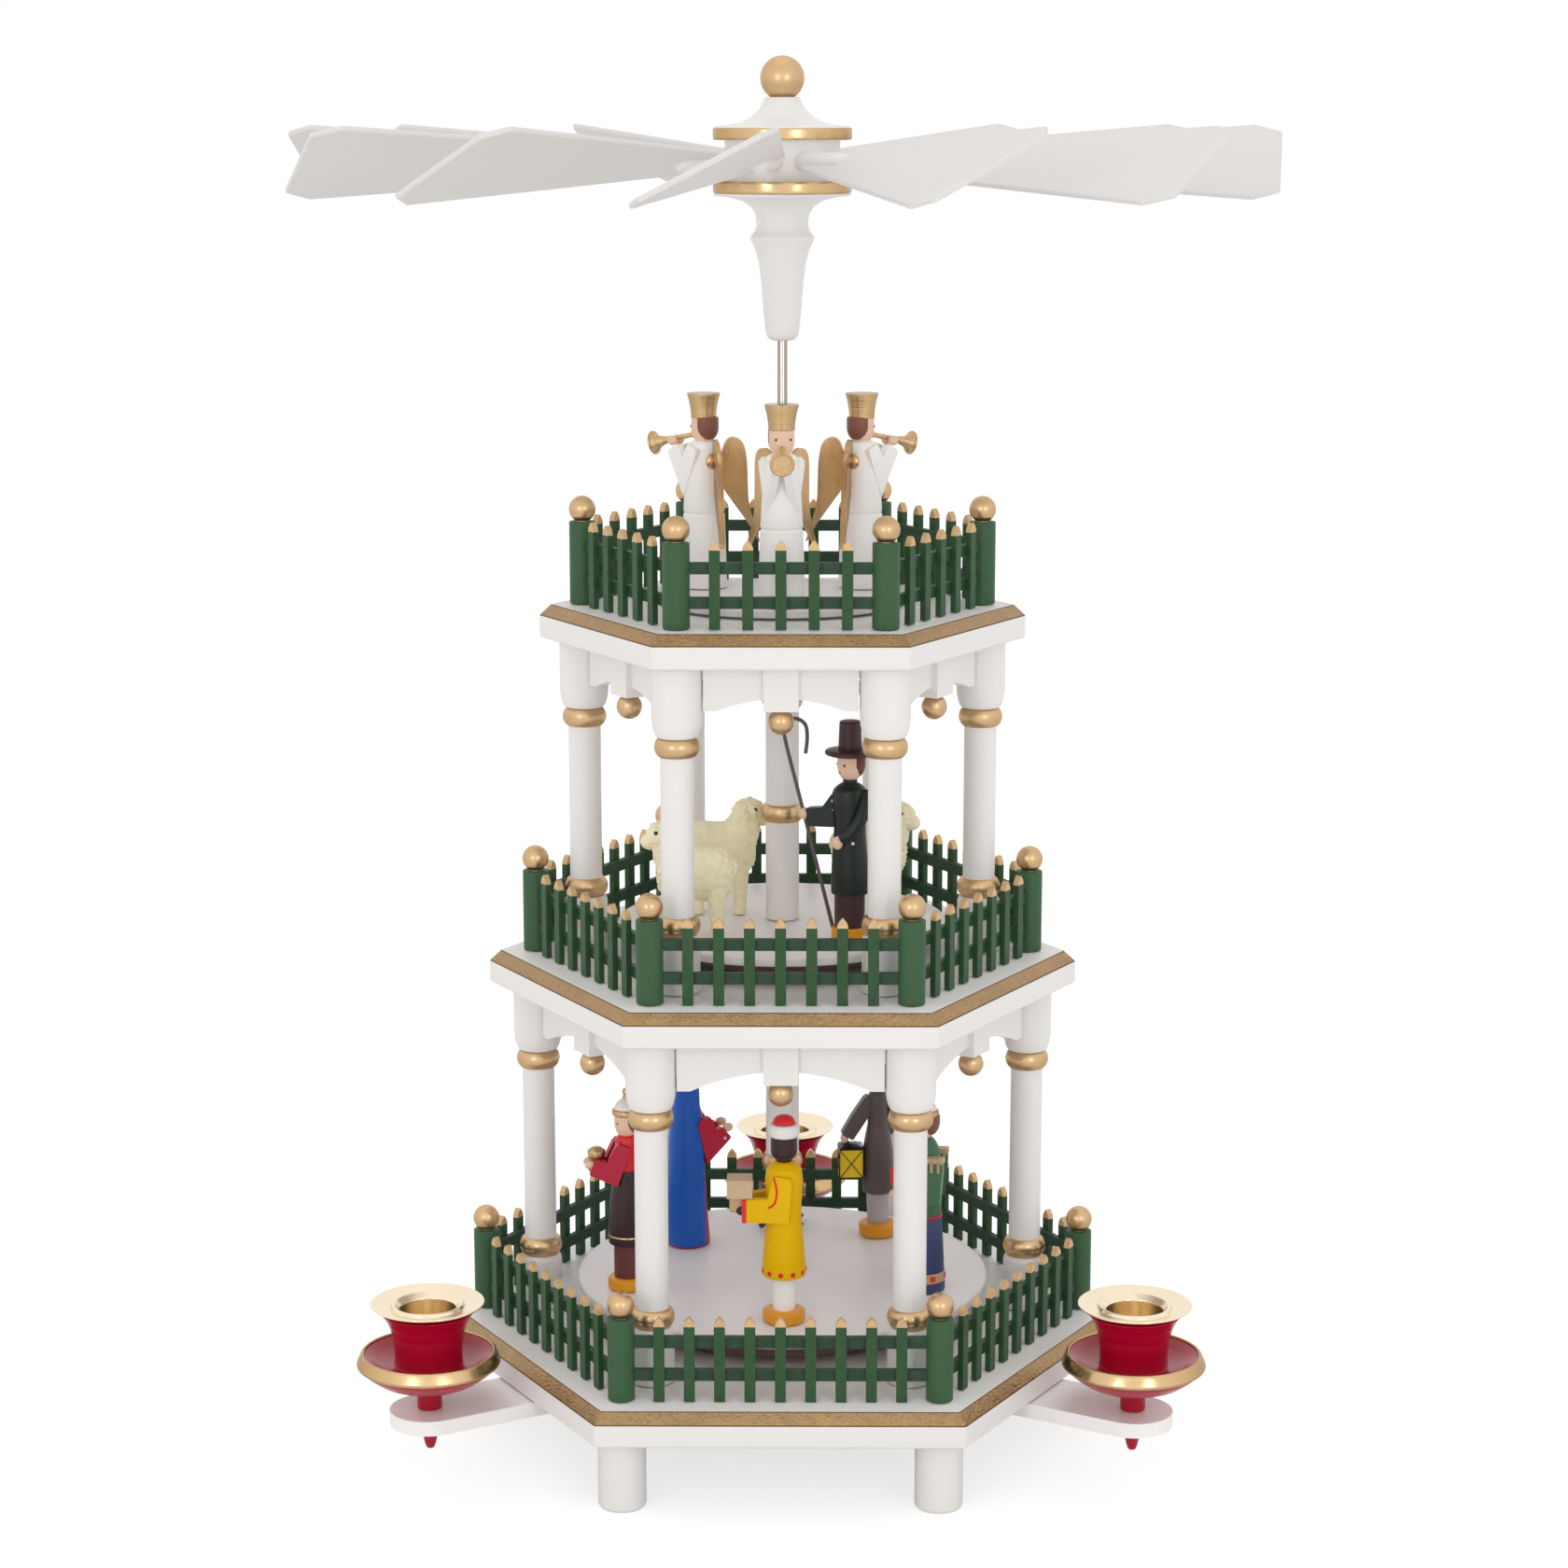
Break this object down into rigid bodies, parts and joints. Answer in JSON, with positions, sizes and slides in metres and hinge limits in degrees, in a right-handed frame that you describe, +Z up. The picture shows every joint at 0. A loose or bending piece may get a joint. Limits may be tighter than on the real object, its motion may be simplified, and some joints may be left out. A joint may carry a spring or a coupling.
{
  "type": "christmas pyramid",
  "caption": "Three-storey wooden christmas pyramid with fenced six-sided plates, turntables of figures and a vaned rotor over candle holders.",
  "frame": {"origin": "on the spindle axis, on the surface that the feet stand on", "axes": "+Z up along the spindle, -Y out of the front edge of the plates, +X to the right in the picture"},
  "size_m": [0.3016, 0.3016, 0.43],
  "materials": {
    "white_wood": "satin white paint, gold painted rings and edges",
    "green_wood": "satin dark green paint, gold tips and balls",
    "red_wood": "gloss deep red paint, gold rim",
    "brass": "thin polished pressed brass",
    "steel": "drawn steel rod",
    "yellow_figure": "gloss yellow paint with red dots, turned wood",
    "brown_figure": "satin dark brown paint, turned wood",
    "navy_figure": "satin navy and green paint, turned wood",
    "blue_figure": "satin blue paint, turned wood",
    "grey_figure": "satin dark grey paint, turned wood",
    "dark_green_figure": "satin dark green paint, turned wood",
    "cream_wool": "matte cream paint, finely carved fleece",
    "dark_wood": "dark stained wood"
  },
  "bodies": {
    "tower": {"base_plate": "white_wood", "middle_plate": "white_wood", "top_plate": "white_wood", "lower_column_1": "white_wood", "upper_column_1": "white_wood", "lower_column_2": "white_wood", "upper_column_2": "white_wood", "lower_column_3": "white_wood", "upper_column_3": "white_wood", "lower_column_4": "white_wood", "upper_column_4": "white_wood", "lower_column_5": "white_wood", "upper_column_5": "white_wood", "lower_column_6": "white_wood", "upper_column_6": "white_wood", "lower_fence": "green_wood", "middle_fence": "green_wood", "upper_fence": "green_wood", "candle_arm_1": "white_wood", "candle_holder_1": "red_wood", "brass_insert_1": "brass", "candle_arm_2": "white_wood", "candle_holder_2": "red_wood", "brass_insert_2": "brass", "candle_arm_3": "white_wood", "candle_holder_3": "red_wood", "brass_insert_3": "brass", "spindle_bearing": "brass"},
    "rotor": {"lower_turntable": "white_wood", "middle_turntable": "white_wood", "upper_turntable": "white_wood", "lower_sleeve": "white_wood", "upper_sleeve": "white_wood", "rotor_hub": "white_wood", "steel_shaft": "steel", "king_with_box": "yellow_figure", "king_in_red": "brown_figure", "king_in_green": "navy_figure", "woman_in_blue_cloak": "blue_figure", "man_with_lantern": "grey_figure", "manger": "dark_wood", "sheep_1": "cream_wool", "sheep_2": "cream_wool", "sheep_3": "cream_wool", "shepherd": "dark_green_figure", "angel_1": "white_wood", "angel_2": "white_wood", "angel_3": "white_wood"},
    "vane_1_body": {"vane_1": "white_wood"},
    "vane_2_body": {"vane_2": "white_wood"},
    "vane_3_body": {"vane_3": "white_wood"},
    "vane_4_body": {"vane_4": "white_wood"},
    "vane_5_body": {"vane_5": "white_wood"},
    "vane_6_body": {"vane_6": "white_wood"},
    "vane_7_body": {"vane_7": "white_wood"},
    "vane_8_body": {"vane_8": "white_wood"},
    "vane_9_body": {"vane_9": "white_wood"},
    "vane_10_body": {"vane_10": "white_wood"},
    "vane_11_body": {"vane_11": "white_wood"},
    "vane_12_body": {"vane_12": "white_wood"}
  },
  "joints": [
    {"name": "rotor_spin", "type": "hinge", "parent": "tower", "child": "rotor", "pos_m": [0, 0, 0.03], "axis": [0, 0, 1], "continuous": true},
    {"name": "vane_1_pitch", "type": "hinge", "parent": "rotor", "child": "vane_1_body", "pos_m": [0.02971, -0.00417, 0.3987], "axis": [0.9903, -0.1392, 0], "range_deg": [-27, 33]},
    {"name": "vane_2_pitch", "type": "hinge", "parent": "rotor", "child": "vane_2_body", "pos_m": [0.02782, 0.01124, 0.3987], "axis": [0.9272, 0.3746, 0], "range_deg": [-27, 33]},
    {"name": "vane_3_pitch", "type": "hinge", "parent": "rotor", "child": "vane_3_body", "pos_m": [0.01847, 0.02364, 0.3987], "axis": [0.6157, 0.788, 0], "range_deg": [-27, 33]},
    {"name": "vane_4_pitch", "type": "hinge", "parent": "rotor", "child": "vane_4_body", "pos_m": [0.00417, 0.02971, 0.3987], "axis": [0.1392, 0.9903, 0], "range_deg": [-27, 33]},
    {"name": "vane_5_pitch", "type": "hinge", "parent": "rotor", "child": "vane_5_body", "pos_m": [-0.01124, 0.02782, 0.3987], "axis": [-0.3746, 0.9272, 0], "range_deg": [-27, 33]},
    {"name": "vane_6_pitch", "type": "hinge", "parent": "rotor", "child": "vane_6_body", "pos_m": [-0.02364, 0.01847, 0.3987], "axis": [-0.788, 0.6157, 0], "range_deg": [-27, 33]},
    {"name": "vane_7_pitch", "type": "hinge", "parent": "rotor", "child": "vane_7_body", "pos_m": [-0.02971, 0.00417, 0.3987], "axis": [-0.9903, 0.1392, 0], "range_deg": [-27, 33]},
    {"name": "vane_8_pitch", "type": "hinge", "parent": "rotor", "child": "vane_8_body", "pos_m": [-0.02782, -0.01124, 0.3987], "axis": [-0.9272, -0.3746, 0], "range_deg": [-27, 33]},
    {"name": "vane_9_pitch", "type": "hinge", "parent": "rotor", "child": "vane_9_body", "pos_m": [-0.01847, -0.02364, 0.3987], "axis": [-0.6157, -0.788, 0], "range_deg": [-27, 33]},
    {"name": "vane_10_pitch", "type": "hinge", "parent": "rotor", "child": "vane_10_body", "pos_m": [-0.00417, -0.02971, 0.3987], "axis": [-0.1392, -0.9903, 0], "range_deg": [-27, 33]},
    {"name": "vane_11_pitch", "type": "hinge", "parent": "rotor", "child": "vane_11_body", "pos_m": [0.01124, -0.02782, 0.3987], "axis": [0.3746, -0.9272, 0], "range_deg": [-27, 33]},
    {"name": "vane_12_pitch", "type": "hinge", "parent": "rotor", "child": "vane_12_body", "pos_m": [0.02364, -0.01847, 0.3987], "axis": [0.788, -0.6157, 0], "range_deg": [-27, 33]}
  ]
}
